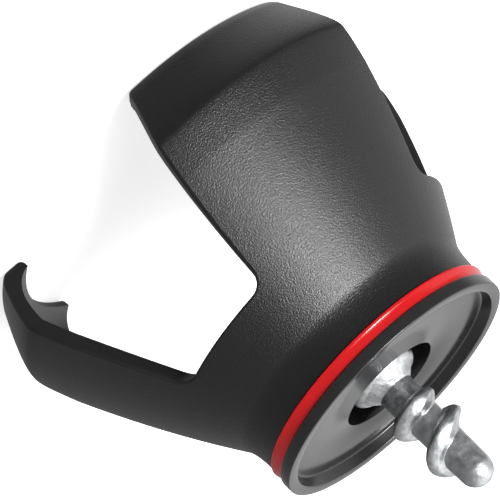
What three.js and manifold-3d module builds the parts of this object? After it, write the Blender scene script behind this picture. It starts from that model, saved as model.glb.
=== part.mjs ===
// Grabber that snaps over a sphere: a moulded cup with three springy fingers, a red trim ring, an end cap and a
// coarse screw that turns into the end of a rubber grip. Millimetres, +Z up. The fingertips stand on z = 0 and
// the screw points up.
import * as THREE from "three";
import { mergeVertices } from "three/addons/utils/BufferGeometryUtils.js";
import Module from "manifold-3d";

const wasm = await Module();
wasm.setup();

// Driving dimensions of the grip on the sphere
const heldRadius = 21.335; // radius of the sphere that the fingers hold
const gripDepth = 6.7; // the lips bear this far past the sphere's widest circle
const lipHeight = 0.8; // from the fingertips up to the lips' narrowest circle
const lipClearance = 0.1; // between the lips and the held sphere
const seatClearance = 0.365; // between the held sphere and the cup's floor

// Driving dimensions of the claw moulding
const fingerCount = 3;
const wall = 1.6; // thickness of the fingers and of the cup's side
const shoulderGap = 2.715; // from the held sphere's widest circle out to the wall
const shoulderRise = 4.13; // from the shoulder up to where the cone starts
const coneStartInset = 1.61; // the cone's start lies this far inside the shoulder
const coneEndOutset = 0.6; // the cone's end lies this far outside the neck
const coneLength = 17.17;
const toeFlatInset = 3.75; // the toe's flat ends this far inside the shoulder
const toeRise = 1.3; // height of the toe's rounded outer corner
const toeInset = 2.25; // the corner's upper end lies this far inside the shoulder
const toeFlatWidth = 0.75; // radial width of the flat that each finger stands on
const lipFlat = 0.4; // height of the lips' straight stretch
const floorThickness = 1.3;
const floorFillet = 1.6; // between the cup's side and its floor
const socketWall = 1.9; // of the neck, round the socket that takes the cap's spigot
const socketDepth = 2.25;

// Driving dimensions of the windows between the fingers
const windowRise = 15.55; // from the sphere's centre up to a window's base
const windowCorner = 1.9; // round of a window's two upper corners
const tipCorner = 0.8; // round of a fingertip's two corners
const rootDrop = 0.25; // the fingers' roots lie this far below the windows' corners
const rootGap = 0.3; // across a finger's root, where the moulding flexes

// Half of a window's width, as an angle about the axis
const windowBaseAngle = THREE.MathUtils.degToRad(22.8);
const windowShoulderAngle = THREE.MathUtils.degToRad(29.4);
const windowToeAngle = THREE.MathUtils.degToRad(34.1);

// Driving dimensions of the ring and the cap
const fitGap = 0.3; // radial gap between pieces that sit in each other
const ringWidth = 1.6; // along the axis
const ringRadius = 14.9;
const neckSetback = 0.4; // the ring stands this far out of the neck
const capSetback = 0.2; // and this far out of the cap
const ringRound = 0.5; // round of the ring's two outer edges
const rimThickness = 1.2; // from the ring's upper side to the cap's rim
const rimWidth = 1.3; // flat that seats on the grip's end
const edgeRound = 0.3; // of the cap's outer edge
const dishDepth = 0.85; // from the rim down to the dished face
const dishFillet = 1.1; // radial width of the curve between the rim and the dished face
const pocketRadius = 5.78; // of the well round the screw's collar
const pocketDepth = 2.6;

// Driving dimensions of the screw
const rootRadius = 2.6; // of the root held in the cap's web
const rootShort = 0.2; // the root ends this far above the web's underside
const baseRadius = 3.5; // of the drum that stands on the pocket's floor
const baseHeight = 1.55;
const flangeRadius = 4.05;
const flangeHeight = 0.85; // from the drum to the collar's widest circle
const flangeConeHeight = 1.35; // from the collar's widest circle to the shaft
const shaftRadius = 2.02; // beside the collar
const tipRadius = 1.83; // of the rounded end
const shaftLength = 11.58;
const threadStart = 2.45; // from the cone's end to the ridge's first crest
const threadFirstRise = 0.55; // rise in the first half turn, before the growth
const threadRiseGrowth = 0.5; // the lead grows towards the tip
const threadHalfTurns = 3.15;
const threadFadeHalfTurns = 0.55; // the ridge rises from the shaft over this much of a half turn
const threadEndHalfTurns = 0.3; // and sinks back into it over this much
const threadAzimuth = THREE.MathUtils.degToRad(-148); // of the ridge's first crest
const ridgeHeight = 1.36; // of the crest above the shaft
const ridgeCrest = 0.65; // width of the crest
const ridgeHeadFlank = 0.4; // width of the steep flank towards the collar
const ridgeTipFlank = 1.15; // width of the hollow flank towards the tip
const ridgeBluntFlank = 0.5; // width of the same flank where the two halves of the casting meet

// Shares that place the control points of the outlines' curves
const coneBendShares = { across: 0.466, up: 0.552 };
const hookBendShares = { across: 0.82, up: 0.16 };
const toeBendShares = { across: 0.47, up: 0.774 };
const shoulderBendShare = 0.12;
const neckBendShare = 0.27;
const rimRoundShare = 0.4; // of the collar's height, rounded at its widest circle
const coneHollowShare = 0.35; // how far the collar's cone sags towards the shaft

// The ridge's section: places across each flank and the crest, with the height there, as shares
const headFlankShares = [[0, -0.3], [0, -0.1], [0.5, 0.2], [0.8, 0.65]];
const crestShares = [[0, 0.92], [0.25, 1], [0.75, 1], [1, 0.94]];
const tipFlankShares = [[0.25, 0.66], [0.5, 0.32], [0.75, 0.09], [1, -0.1], [1, -0.3]];
const ridgeSunkShare = -0.1; // where the ridge ends, its crest lies this far below the shaft's surface

// How finely round forms are faceted
const roundSegments = 60;
const shaftSegments = 40;
const halfTurnSteps = 20; // of the ridge
const curveSteps = 4;
const tipSteps = 6;
const cutSteps = 8; // of a window's sides, from the inside out
const overrun = 2; // cutting solids reach this far past what they cut

// Heights that follow from the sizes above
const centreHeight = gripDepth + lipHeight;
const shoulderRadius = heldRadius + shoulderGap + wall;
const neckRadius = ringRadius - neckSetback;
const capRadius = ringRadius - capSetback;
const socketRadius = neckRadius - socketWall;
const coneRadius = neckRadius + coneEndOutset;
const lipRadius = Math.sqrt(heldRadius ** 2 - gripDepth ** 2) + lipClearance;
const coneTop = centreHeight + shoulderRise + coneLength;
const cupFloor = centreHeight + heldRadius + seatClearance;
const socketFloor = cupFloor + floorThickness;
const neckTop = socketFloor + socketDepth;
const ringTop = neckTop + ringWidth;
const rimTop = ringTop + rimThickness;
const dishFloor = rimTop - dishDepth;
const pocketFloor = dishFloor - pocketDepth;
const windowBase = centreHeight + windowRise;
const rootHeight = windowBase - windowCorner - rootDrop;
const fingerPitch = (2 * Math.PI) / fingerCount;

// The box that holds the part is centred on the origin. One finger points to -Y, so behind the axis the part
// reaches only as far as the corners of the window there.
const reachBehind = shoulderRadius * Math.cos(windowShoulderAngle);
const axisShift = (shoulderRadius - reachBehind) / 2;

const point = (radius, height) => new THREE.Vector2(radius, height);

// A value part of the way from one number to another.
const between = (from, to, share) => from + (to - from) * share;

// A profile of radius and height turned about the axis.
function revolve(profile, segments) {
  const geometry = new THREE.LatheGeometry(profile, segments);
  geometry.rotateX(Math.PI / 2);
  return geometry;
}

// A closed geometry as a solid that can be joined and cut.
function solidOf(geometry) {
  const bare = geometry.clone();
  bare.deleteAttribute("normal");
  bare.deleteAttribute("uv");
  const merged = mergeVertices(bare);
  const vertProperties = merged.attributes.position.array;
  const triVerts = new Uint32Array(merged.index.array);
  return new wasm.Manifold(new wasm.Mesh({ numProp: 3, vertProperties, triVerts }));
}

// A solid back as a geometry.
function geometryOf(solid) {
  const made = solid.getMesh();
  const geometry = new THREE.BufferGeometry();
  geometry.setAttribute("position", new THREE.BufferAttribute(made.vertProperties, 3));
  geometry.setIndex(new THREE.BufferAttribute(made.triVerts, 1));
  geometry.computeVertexNormals();
  return geometry;
}

// The moulding's outer skin from the shoulder up to the cone's end.
function coneSkin() {
  const coneStart = point(shoulderRadius - coneStartInset, centreHeight + shoulderRise);
  const coneEnd = point(coneRadius, coneTop);
  const skin = new THREE.Path();
  skin.moveTo(shoulderRadius, centreHeight);
  const shoulderBend = between(centreHeight, coneStart.y, shoulderBendShare);
  skin.quadraticCurveTo(shoulderRadius, shoulderBend, coneStart.x, coneStart.y);
  const bendRadius = between(coneStart.x, coneEnd.x, coneBendShares.across);
  const bendHeight = between(coneStart.y, coneEnd.y, coneBendShares.up);
  skin.quadraticCurveTo(bendRadius, bendHeight, coneEnd.x, coneEnd.y);
  return skin;
}

// The same skin moved inwards by the wall's thickness.
function innerSkinPoints(skin) {
  const points = [];
  for (const curve of skin.curves) {
    for (let step = 1; step <= curveSteps; step++) {
      const on = curve.getPoint(step / curveSteps);
      const along = curve.getTangent(step / curveSteps);
      points.push(point(on.x - along.y * wall, on.y + along.x * wall));
    }
  }
  return points;
}

// The point of a rising line of points at a height, on the line past its end if it stops below.
function pointAt(points, height) {
  const above = points.findIndex((p) => p.y > height);
  const upper = above < 0 ? points.length - 1 : Math.max(above, 1);
  const from = points[upper - 1];
  const to = points[upper];
  return point(between(from.x, to.x, (height - from.y) / (to.y - from.y)), height);
}

// The closed outline of the whole moulding, before the windows are cut.
function mouldingProfile() {
  const skin = coneSkin();
  const toeFlat = point(shoulderRadius - toeFlatInset, 0);
  const toeTop = point(shoulderRadius - toeInset, toeRise);
  const outside = new THREE.Path();
  outside.moveTo(toeFlat.x, toeFlat.y);
  outside.quadraticCurveTo(between(toeFlat.x, toeTop.x, toeBendShares.across), 0, toeTop.x, toeTop.y);
  const sideBend = between(toeTop.y, centreHeight, toeBendShares.up);
  outside.quadraticCurveTo(shoulderRadius, sideBend, shoulderRadius, centreHeight);

  const neck = new THREE.Path();
  neck.moveTo(coneRadius, coneTop);
  neck.quadraticCurveTo(neckRadius, between(coneTop, neckTop, neckBendShare), neckRadius, neckTop);

  const inner = innerSkinPoints(skin);
  const filletEnd = pointAt(inner, cupFloor - floorFillet);
  const floorCorner = pointAt(inner, cupFloor);
  const floorCurve = new THREE.QuadraticBezierCurve(
    point(floorCorner.x - floorFillet, cupFloor),
    floorCorner,
    filletEnd,
  );

  const shoulderInside = shoulderRadius - wall;
  const lipTop = lipHeight + lipFlat;
  const hook = new THREE.Path();
  hook.moveTo(shoulderInside, centreHeight);
  hook.quadraticCurveTo(
    between(lipRadius, shoulderInside, hookBendShares.across),
    between(lipTop, centreHeight, hookBendShares.up),
    lipRadius,
    lipTop,
  );
  hook.lineTo(lipRadius, lipHeight);
  hook.quadraticCurveTo(lipRadius, 0, toeFlat.x - toeFlatWidth, 0);

  return [
    ...outside.getPoints(curveSteps),
    ...skin.getPoints(curveSteps).slice(1),
    ...neck.getPoints(curveSteps).slice(1),
    point(socketRadius, neckTop),
    point(socketRadius, socketFloor),
    point(0, socketFloor),
    point(0, cupFloor),
    ...floorCurve.getPoints(curveSteps),
    ...inner.filter((p) => p.y < filletEnd.y).reverse(),
    ...hook.getPoints(curveSteps),
    toeFlat,
  ];
}

// The outline of a window, unrolled: angle about the axis across, height up. Its sides close upwards to a base
// with round corners, and below the toes it opens wider by the round of the fingertips' corners.
function windowShape() {
  const tipRound = tipCorner / (shoulderRadius - toeFlatInset);
  const baseRound = windowCorner / pointAt(coneSkin().getPoints(curveSteps), windowBase).x;
  const sideRound = windowCorner / windowRise;
  const half = [
    point(windowToeAngle + tipRound, -overrun),
    point(windowToeAngle + tipRound, 0),
    point(windowToeAngle, 0),
    point(windowToeAngle, tipCorner),
    point(windowShoulderAngle, centreHeight),
    point(between(windowBaseAngle, windowShoulderAngle, sideRound), windowBase - windowCorner),
    point(windowBaseAngle, windowBase),
    point(windowBaseAngle - baseRound, windowBase),
  ];
  const shape = new THREE.Shape();
  shape.moveTo(half[0].x, half[0].y);
  shape.lineTo(half[1].x, half[1].y);
  shape.quadraticCurveTo(half[2].x, half[2].y, half[3].x, half[3].y);
  shape.lineTo(half[4].x, half[4].y);
  shape.lineTo(half[5].x, half[5].y);
  shape.quadraticCurveTo(half[6].x, half[6].y, half[7].x, half[7].y);
  shape.lineTo(-half[7].x, half[7].y);
  shape.quadraticCurveTo(-half[6].x, half[6].y, -half[5].x, half[5].y);
  shape.lineTo(-half[4].x, half[4].y);
  shape.lineTo(-half[3].x, half[3].y);
  shape.quadraticCurveTo(-half[2].x, half[2].y, -half[1].x, half[1].y);
  shape.lineTo(-half[0].x, half[0].y);
  return shape;
}

// The solid that cuts one window: its outline carried outwards and rolled round the axis, so that the window's
// sides point at the axis.
function windowCutter(azimuth) {
  const start = neckRadius / 2;
  const reach = (shoulderRadius + overrun) / Math.cos(windowToeAngle);
  const settings = { depth: reach - start, steps: cutSteps, bevelEnabled: false, curveSegments: curveSteps };
  const geometry = new THREE.ExtrudeGeometry(windowShape(), settings);
  const position = geometry.attributes.position;
  for (let i = 0; i < position.count; i++) {
    const angle = azimuth + position.getX(i);
    const radius = start + position.getZ(i);
    position.setXYZ(i, radius * Math.cos(angle), radius * Math.sin(angle), position.getY(i));
  }
  return solidOf(geometry);
}

// The full moulding: the turned cup with its windows cut between the fingers.
function moulding() {
  let body = solidOf(revolve(mouldingProfile(), roundSegments));
  for (let i = 0; i < fingerCount; i++) {
    const azimuth = -Math.PI / 2 + (i + 1 / 2) * fingerPitch;
    body = body.subtract(windowCutter(azimuth));
  }
  return body;
}

// A slab wider than the part between two heights, to keep the stretch of a solid that lies in it.
function slab(bottom, top) {
  const width = 2 * (shoulderRadius + overrun);
  const geometry = new THREE.BoxGeometry(width, width, top - bottom);
  geometry.translate(0, 0, (bottom + top) / 2);
  return solidOf(geometry);
}

// The wedge of space that holds the finger towards -Y, up to the fingers' roots.
function fingerWedge() {
  const reach = shoulderRadius + overrun;
  const halfWidth = reach * Math.tan(fingerPitch / 2);
  const shape = new THREE.Shape();
  shape.moveTo(0, 0);
  shape.lineTo(-halfWidth, -reach);
  shape.lineTo(halfWidth, -reach);
  const settings = { depth: rootHeight + overrun, bevelEnabled: false };
  const geometry = new THREE.ExtrudeGeometry(shape, settings);
  geometry.translate(0, 0, -overrun);
  return solidOf(geometry);
}

const whole = moulding();
const collarGeometry = geometryOf(whole.intersect(slab(rootHeight + rootGap, rimTop)));
const fingerGeometry = geometryOf(whole.intersect(fingerWedge()));

// The trim ring, clamped between the neck and the cap, with rounded outer edges.
function ringGeometry() {
  const inside = socketRadius;
  const outline = new THREE.Path();
  outline.moveTo(inside, neckTop);
  outline.lineTo(ringRadius - ringRound, neckTop);
  outline.quadraticCurveTo(ringRadius, neckTop, ringRadius, neckTop + ringRound);
  outline.lineTo(ringRadius, ringTop - ringRound);
  outline.quadraticCurveTo(ringRadius, ringTop, ringRadius - ringRound, ringTop);
  outline.lineTo(inside, ringTop);
  outline.lineTo(inside, neckTop);
  return revolve(outline.getPoints(curveSteps), roundSegments);
}

// The end cap: a spigot that fills the neck's socket, under a disc with a dished face and a well for the screw.
function capGeometry() {
  const boreRadius = rootRadius + fitGap;
  const spigotRadius = socketRadius - fitGap;
  const dishRadius = capRadius - edgeRound - rimWidth;
  const outline = new THREE.Path();
  outline.moveTo(boreRadius, socketFloor);
  outline.lineTo(spigotRadius, socketFloor);
  outline.lineTo(spigotRadius, ringTop);
  outline.lineTo(capRadius, ringTop);
  outline.lineTo(capRadius, rimTop - edgeRound);
  outline.quadraticCurveTo(capRadius, rimTop, capRadius - edgeRound, rimTop);
  outline.lineTo(dishRadius, rimTop);
  outline.quadraticCurveTo(dishRadius, dishFloor, dishRadius - dishFillet, dishFloor);
  outline.lineTo(pocketRadius, dishFloor);
  outline.lineTo(pocketRadius, pocketFloor);
  outline.lineTo(boreRadius, pocketFloor);
  outline.lineTo(boreRadius, socketFloor);
  return revolve(outline.getPoints(curveSteps), roundSegments);
}

const flangeTop = pocketFloor + baseHeight + flangeHeight;
const shaftStart = flangeTop + flangeConeHeight;
const tipCentre = shaftStart + shaftLength;

// The shaft's radius at a height: it tapers evenly from the collar to the rounded end.
const shaftRadiusAt = (height) => between(shaftRadius, tipRadius, (height - shaftStart) / shaftLength);

// The screw's profile without its thread.
function screwProfile() {
  const drumTop = pocketFloor + baseHeight;
  const rimRound = flangeHeight * rimRoundShare;
  const lower = new THREE.Path();
  lower.moveTo(0, socketFloor + rootShort);
  lower.lineTo(rootRadius, socketFloor + rootShort);
  lower.lineTo(rootRadius, pocketFloor);
  lower.lineTo(baseRadius, pocketFloor);
  lower.lineTo(baseRadius, drumTop);
  lower.quadraticCurveTo(flangeRadius, drumTop, flangeRadius, flangeTop - rimRound);
  lower.quadraticCurveTo(flangeRadius, flangeTop, flangeRadius - rimRound, flangeTop + rimRound);
  const hollowRadius = between(shaftRadius, flangeRadius, coneHollowShare);
  const hollowHeight = between(shaftStart, flangeTop, coneHollowShare);
  lower.quadraticCurveTo(hollowRadius, hollowHeight, shaftRadius, shaftStart);

  const tip = [];
  for (let step = 0; step <= tipSteps; step++) {
    const angle = ((Math.PI / 2) * step) / tipSteps;
    const radius = step === tipSteps ? 0 : tipRadius * Math.cos(angle);
    tip.push(point(radius, tipCentre + tipRadius * Math.sin(angle)));
  }
  return [...lower.getPoints(curveSteps), ...tip];
}

// The height of the ridge's crest line after a number of half turns. The lead grows towards the tip.
const crestHeight = (halfTurns) =>
  shaftStart + threadStart + threadFirstRise * halfTurns + threadRiseGrowth * halfTurns ** 2;

// The ridge's section: how far each of its points lies beside the crest line, and its share of the height. The
// flank towards the tip is blunt on the side where the first half turn ends.
function ridgeSection(halfTurns) {
  const half = ridgeCrest / 2;
  const blunt = Math.max(0, -Math.cos(Math.PI * halfTurns)) ** 4;
  const tipFlank = between(ridgeTipFlank, ridgeBluntFlank, blunt);
  return [
    ...headFlankShares.map(([along, up]) => [between(-half - ridgeHeadFlank, -half, along), up]),
    ...crestShares.map(([along, up]) => [between(-half, half, along), up]),
    ...tipFlankShares.map(([along, up]) => [between(half, half + tipFlank, along), up]),
  ];
}

// How much of its full height the ridge has: none at its two ends, and all of it in between.
function ridgeGrowth(halfTurns) {
  const rise = THREE.MathUtils.smoothstep(halfTurns, -threadFadeHalfTurns, 0);
  return rise * (1 - THREE.MathUtils.smoothstep(halfTurns, threadHalfTurns, threadHalfTurns + threadEndHalfTurns));
}

// The points of the ridge's section after a number of half turns up the right-handed helix.
function ridgePoints(halfTurns) {
  const angle = threadAzimuth + Math.PI * halfTurns;
  const growth = ridgeGrowth(halfTurns);
  return ridgeSection(halfTurns).map(([beside, up]) => {
    const height = crestHeight(halfTurns) + beside;
    const raised = up > 0 ? between(ridgeSunkShare, up, growth) : up;
    const radius = shaftRadiusAt(height) + raised * ridgeHeight;
    return [radius * Math.cos(angle), radius * Math.sin(angle), height];
  });
}

// The ridge as a closed solid: its section carried up the helix with its foot inside the shaft, and a fan of
// triangles over each end.
function ridgeGeometry() {
  const first = -threadFadeHalfTurns;
  const last = threadHalfTurns + threadEndHalfTurns;
  const steps = Math.round((last - first) * halfTurnSteps);
  const rings = [];
  for (let step = 0; step <= steps; step++) rings.push(ridgePoints(between(first, last, step / steps)));
  const count = rings[0].length;
  const faces = [];
  for (let step = 0; step < steps; step++) {
    for (let i = 0; i < count; i++) {
      const here = step * count + i;
      const beside = step * count + ((i + 1) % count);
      faces.push(here, here + count, beside + count, here, beside + count, beside);
    }
  }
  const end = steps * count;
  for (let i = 1; i < count - 1; i++) {
    faces.push(0, i, i + 1);
    faces.push(end, end + i + 1, end + i);
  }
  const geometry = new THREE.BufferGeometry();
  geometry.setAttribute("position", new THREE.Float32BufferAttribute(rings.flat(2), 3));
  geometry.setIndex(faces);
  return geometry;
}

// The screw: its profile turned about the axis, joined with the ridge that winds up its shaft.
function screwGeometry() {
  const shaft = solidOf(revolve(screwProfile(), shaftSegments));
  return geometryOf(shaft.add(solidOf(ridgeGeometry())));
}

const mouldedPlastic = new THREE.MeshStandardMaterial({ color: 0x1d1d1f, roughness: 0.55, metalness: 0 });
const capPlastic = new THREE.MeshStandardMaterial({ color: 0x38383b, roughness: 0.3, metalness: 0 });
const ringPlastic = new THREE.MeshStandardMaterial({ color: 0xd3161a, roughness: 0.25, metalness: 0 });
const castMetal = new THREE.MeshStandardMaterial({ color: 0xb8babd, roughness: 0.35, metalness: 1 });

function named(name, geometry, material) {
  const mesh = new THREE.Mesh(geometry, material);
  mesh.name = name;
  return mesh;
}

const grabber = new THREE.Group();
grabber.position.y = axisShift;
grabber.add(named("claw_collar", collarGeometry, mouldedPlastic));
for (let i = 0; i < fingerCount; i++) {
  const finger = named(`claw_finger_${i + 1}`, fingerGeometry, mouldedPlastic);
  finger.rotation.z = i * fingerPitch;
  grabber.add(finger);
}
grabber.add(named("trim_ring", ringGeometry(), ringPlastic));
grabber.add(named("end_cap", capGeometry(), capPlastic));
grabber.add(named("grip_screw", screwGeometry(), castMetal));

export default grabber;
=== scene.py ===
# %% [markdown]
# # A claw that screws into the end of a grip
#
# The object is a black cup with three fingers, moulded in one piece. The fingers hook over a sphere and hold
# it. A red ring and a dished cap close the cup's neck, and a cast screw stands in the cap's middle.
#
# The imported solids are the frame: they fix every size and place. They are coarse, so each visible surface
# is made again here by formula as a fine one, and gets the finish of the real material.

# %% Load the frame
import math

import bpy
import numpy as np
from mathutils import Matrix, Vector


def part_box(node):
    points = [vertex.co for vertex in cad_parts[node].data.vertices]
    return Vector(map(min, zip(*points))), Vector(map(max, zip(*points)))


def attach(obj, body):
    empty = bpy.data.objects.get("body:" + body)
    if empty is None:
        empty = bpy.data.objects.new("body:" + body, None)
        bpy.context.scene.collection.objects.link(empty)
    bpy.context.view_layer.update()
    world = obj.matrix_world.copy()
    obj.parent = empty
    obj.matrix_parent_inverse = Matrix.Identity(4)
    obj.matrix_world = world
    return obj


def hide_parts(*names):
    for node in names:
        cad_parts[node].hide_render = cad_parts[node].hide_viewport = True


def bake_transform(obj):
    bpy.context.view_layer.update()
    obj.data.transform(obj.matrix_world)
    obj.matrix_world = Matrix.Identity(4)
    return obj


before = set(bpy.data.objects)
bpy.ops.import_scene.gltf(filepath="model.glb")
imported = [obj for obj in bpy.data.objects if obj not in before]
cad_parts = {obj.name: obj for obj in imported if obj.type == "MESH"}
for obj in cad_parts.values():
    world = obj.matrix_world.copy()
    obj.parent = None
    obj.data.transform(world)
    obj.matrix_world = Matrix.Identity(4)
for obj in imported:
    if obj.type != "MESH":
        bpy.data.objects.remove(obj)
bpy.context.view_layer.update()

mm = 0.001


def in_mm(lengths):
    """Lengths in millimetres, rounded, to be printed."""
    return [round(length / mm, 2) for length in lengths]


# %% [markdown]
# ## Measure the frame
#
# Lengths could be typed in again, but two copies of a length can drift apart. So whatever the boxes of the
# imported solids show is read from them: the axis that everything turns about, the radii and the levels at
# which one piece sits on the next.

# %% Read the axis, radii and levels
ring_low, ring_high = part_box("trim_ring")
cap_low, cap_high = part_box("end_cap")
axis_x = (ring_low.x + ring_high.x) / 2
axis_y = (ring_low.y + ring_high.y) / 2
ring_radius = (ring_high.x - ring_low.x) / 2
shoulder_radius = axis_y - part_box("claw_finger_1")[0].y
neck_top = ring_low.z
ring_top = ring_high.z
rim_top = cap_high.z
socket_floor = cap_low.z
screw_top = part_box("grip_screw")[1].z
print("radii in mm:", in_mm([ring_radius, shoulder_radius]))
print("levels in mm:", in_mm([socket_floor, neck_top, ring_top, rim_top, screw_top]))

# %% [markdown]
# ## Helpers for curves and meshes
#
# Every surface here is a grid of points. It could be carved with booleans or grown with modifiers, but a
# formula on whole arrays is short, exact and easy to make finer. A point of a curve is a radius and a
# height, and a curve becomes a surface when it is carried round the axis.

# %% Curves
curve_points = 90


def between(start, end, share):
    """A value part of the way from one number to another: start + (end - start) times the share."""
    return start + (end - start) * share


def bend(start, control, end, count=curve_points):
    """A quadratic curve: (1-t) squared times start, 2t(1-t) times control, and t squared times end."""
    t = np.linspace(0, 1, count)[:, None]
    start, control, end = (np.array(point, float) for point in (start, control, end))
    return (1 - t) ** 2 * start + 2 * t * (1 - t) * control + t**2 * end


def rounded(corner, before, after, count):
    """A rounded corner: the quadratic curve from one offset of the corner to another, pulled towards it."""
    corner = np.array(corner)
    return bend(corner + before, corner, corner + after, count)


def joined(*runs):
    """Runs of points laid end to end. Each run after the first leaves out its first point, so that a point
    which two runs share is kept once."""
    return np.vstack([runs[0]] + [run[1:] for run in runs[1:]])


def spaced(points, count):
    """Points at even steps along a polyline: its running length is divided into equal parts."""
    length = np.concatenate([[0], np.cumsum(np.linalg.norm(np.diff(points, axis=0), axis=1))])
    wanted = np.linspace(0, length[-1], count)
    return np.stack([np.interp(wanted, length, points[:, i]) for i in range(2)], axis=1)


def smooth_step(low, high, x):
    """0 below low, 1 above high, and in between t squared times (3 - 2t)."""
    t = np.clip((x - low) / (high - low), 0, 1)
    return t * t * (3 - 2 * t)


# %% Meshes
sharp_angle = math.radians(38)


def grid_faces(index, closed_rows=False, closed_columns=False):
    """The four-sided faces of a grid of vertex numbers: each joins two neighbours in a row to the two in the
    next row."""
    if closed_rows:
        index = np.hstack([index, index[:, :1]])
    if closed_columns:
        index = np.vstack([index, index[:1]])
    corners = [index[:-1, :-1], index[:-1, 1:], index[1:, 1:], index[1:, :-1]]
    return np.stack(corners, axis=-1).reshape(-1, 4).tolist()


def volume_of(points, faces):
    """The signed volume: a sixth of the triple products of each face's fan of triangles, summed."""
    fans = [(face[0], face[i], face[i + 1]) for face in faces for i in range(1, len(face) - 1)]
    a, b, c = (points[list(corner)] for corner in zip(*fans))
    return np.einsum("ij,ij->i", a, np.cross(b, c)).sum() / 6


def piece(name, points, faces):
    """A mesh object at the origin, its faces turned to point outwards and its corners kept sharp."""
    if volume_of(points, faces) < 0:
        faces = [face[::-1] for face in faces]
    mesh = bpy.data.meshes.new(name)
    mesh.from_pydata(points.tolist(), [], faces)
    mesh.shade_smooth()
    mesh.set_sharp_from_angle(angle=sharp_angle)
    made = bpy.data.objects.new(name, mesh)
    bpy.context.scene.collection.objects.link(made)
    print(name, "has", len(faces), "faces")
    return made


def mark(made, name, values):
    """Keeps one number at each vertex, for the material to read."""
    made.data.attributes.new(name, "FLOAT", "POINT").data.foreach_set("value", values.astype(np.float32))


# %% Forms about the axis
def placed(radius, angle, height):
    """Points about the object's axis: x and y are the radius times the cosine and the sine of the angle,
    measured from the axis, and z is the height."""
    x = axis_x + radius * np.cos(angle)
    y = axis_y + radius * np.sin(angle)
    return np.stack(np.broadcast_arrays(x, y, height), axis=-1)


def turned(name, outline, segments):
    """A closed profile of radius and height carried round the axis in equal steps of the angle."""
    angle = np.linspace(0, 2 * np.pi, segments, endpoint=False)
    points = placed(outline[:, :1], angle[None], outline[:, 1:]).reshape(-1, 3)
    index = np.arange(len(points)).reshape(len(outline), segments)
    return piece(name, points, grid_faces(index, closed_rows=True, closed_columns=True))


def with_poles(points, faces, rings, heights):
    """Closes a grid's two ends: a fan of triangles joins each end's ring of vertex numbers to a new pole,
    which stands on the axis at its height."""
    poles = placed(np.zeros(2), 0, np.array(heights))
    first_pole, last_pole = len(points), len(points) + 1
    first_pairs, last_pairs = (zip(ring.tolist(), np.roll(ring, -1).tolist()) for ring in rings)
    fans = [[a, first_pole, b] for a, b in first_pairs] + [[b, last_pole, a] for a, b in last_pairs]
    return np.vstack([points, poles]), faces + fans


# %% [markdown]
# ## The claw moulding
#
# Cup and fingers are one injection moulding of even wall. Its outline swells from the neck to a shoulder and
# turns in again to the toes, where a hooked lip on the inside passes the sphere's widest circle. The mould
# was spark-eroded, so the outside has a fine grain, while the cut sides of the windows are smooth.
#
# It could be a turned body cut with a boolean, but a boolean leaves ragged faces along the cuts. Instead the
# outer and inner skins are two radii given for each height, the fingers' width is an angle given for each
# height, and the surface is a grid that follows the windows' edges and rounds them.

# %% Sizes of the moulding
held_radius = 21.335 * mm
centre_height = 7.5 * mm  # level of the shoulder and of the held sphere's centre
wall = 1.6 * mm
neck_radius = ring_radius - 0.24 * mm
shoulder = (shoulder_radius, centre_height)
cone_start = (shoulder_radius - 1.4 * mm, centre_height + 4.13 * mm)
cone_end = (neck_radius + 0.6 * mm, cone_start[1] + 17.17 * mm)
toe_top = (shoulder_radius - 2.25 * mm, 1.3 * mm)
toe_flat = (shoulder_radius - 3.75 * mm, 0)
toe_flat_width = 1.15 * mm
grip_depth = 6.7 * mm  # the lips bear this far past the sphere's widest circle
lip_spring = 0.25 * mm  # and in the empty claw they stand this much further in than its surface
lip_radius = math.sqrt(held_radius**2 - grip_depth**2) - lip_spring
lip_top = 1.05 * mm
lip_bottom = 0.6 * mm
cup_floor = socket_floor - 1.3 * mm
floor_fillet = 1.6 * mm
socket_radius = neck_radius - 1.9 * mm
print("the lips' radius in mm:", in_mm([lip_radius]))

# %% The outer skin
# Each share says where a curve's control point stands between the ends of the curve, across or up.
neck_share = 0.27
cone_shares = (0.466, 0.552)
shoulder_share = 0.12
side_share = 0.774
toe_share = 0.47
neck_control = (neck_radius, between(cone_end[1], neck_top, neck_share))
neck_curve = bend(cone_end, neck_control, (neck_radius, neck_top))
cone_control = (
    between(cone_start[0], cone_end[0], cone_shares[0]),
    between(cone_start[1], cone_end[1], cone_shares[1]),
)
cone_curve = bend(cone_start, cone_control, cone_end)
shoulder_control = (shoulder_radius, between(centre_height, cone_start[1], shoulder_share))
shoulder_curve = bend(shoulder, shoulder_control, cone_start)
side_control = (shoulder_radius, between(toe_top[1], centre_height, side_share))
side_curve = bend(toe_top, side_control, shoulder)
toe_curve = bend(toe_top, (between(toe_flat[0], toe_top[0], toe_share), 0), toe_flat)
outer_skin = joined(side_curve, shoulder_curve, cone_curve, neck_curve)


def outer_at(height):
    """The outer skin's radius at a height, read along its curves."""
    return np.interp(height, outer_skin[:, 1], outer_skin[:, 0])


# %% The inner skin
# Above the shoulder it is the outer skin moved inwards by the wall, at right angles to the outline. Below, a
# hooked curve runs in to the lip.
hook_shares = (0.82, 0.16)
skin = joined(shoulder_curve, cone_curve)
along = np.gradient(skin, axis=0)
along /= np.linalg.norm(along, axis=1)[:, None]
inset_skin = skin + wall * np.stack([-along[:, 1], along[:, 0]], axis=1)
hook_start = (lip_radius, lip_top)
hook_end = (shoulder_radius - wall, centre_height)
hook_control = (
    between(lip_radius, hook_end[0], hook_shares[0]),
    between(lip_top, centre_height, hook_shares[1]),
)
hook_curve = bend(hook_start, hook_control, hook_end)
lip_curve = bend((lip_radius, lip_bottom), (lip_radius, 0), (toe_flat[0] - toe_flat_width, 0))
inner_skin = joined(hook_curve, inset_skin)


def inner_at(height):
    """The inner skin's radius at a height, read along its curves."""
    return np.interp(height, inner_skin[:, 1], inner_skin[:, 0])


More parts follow.
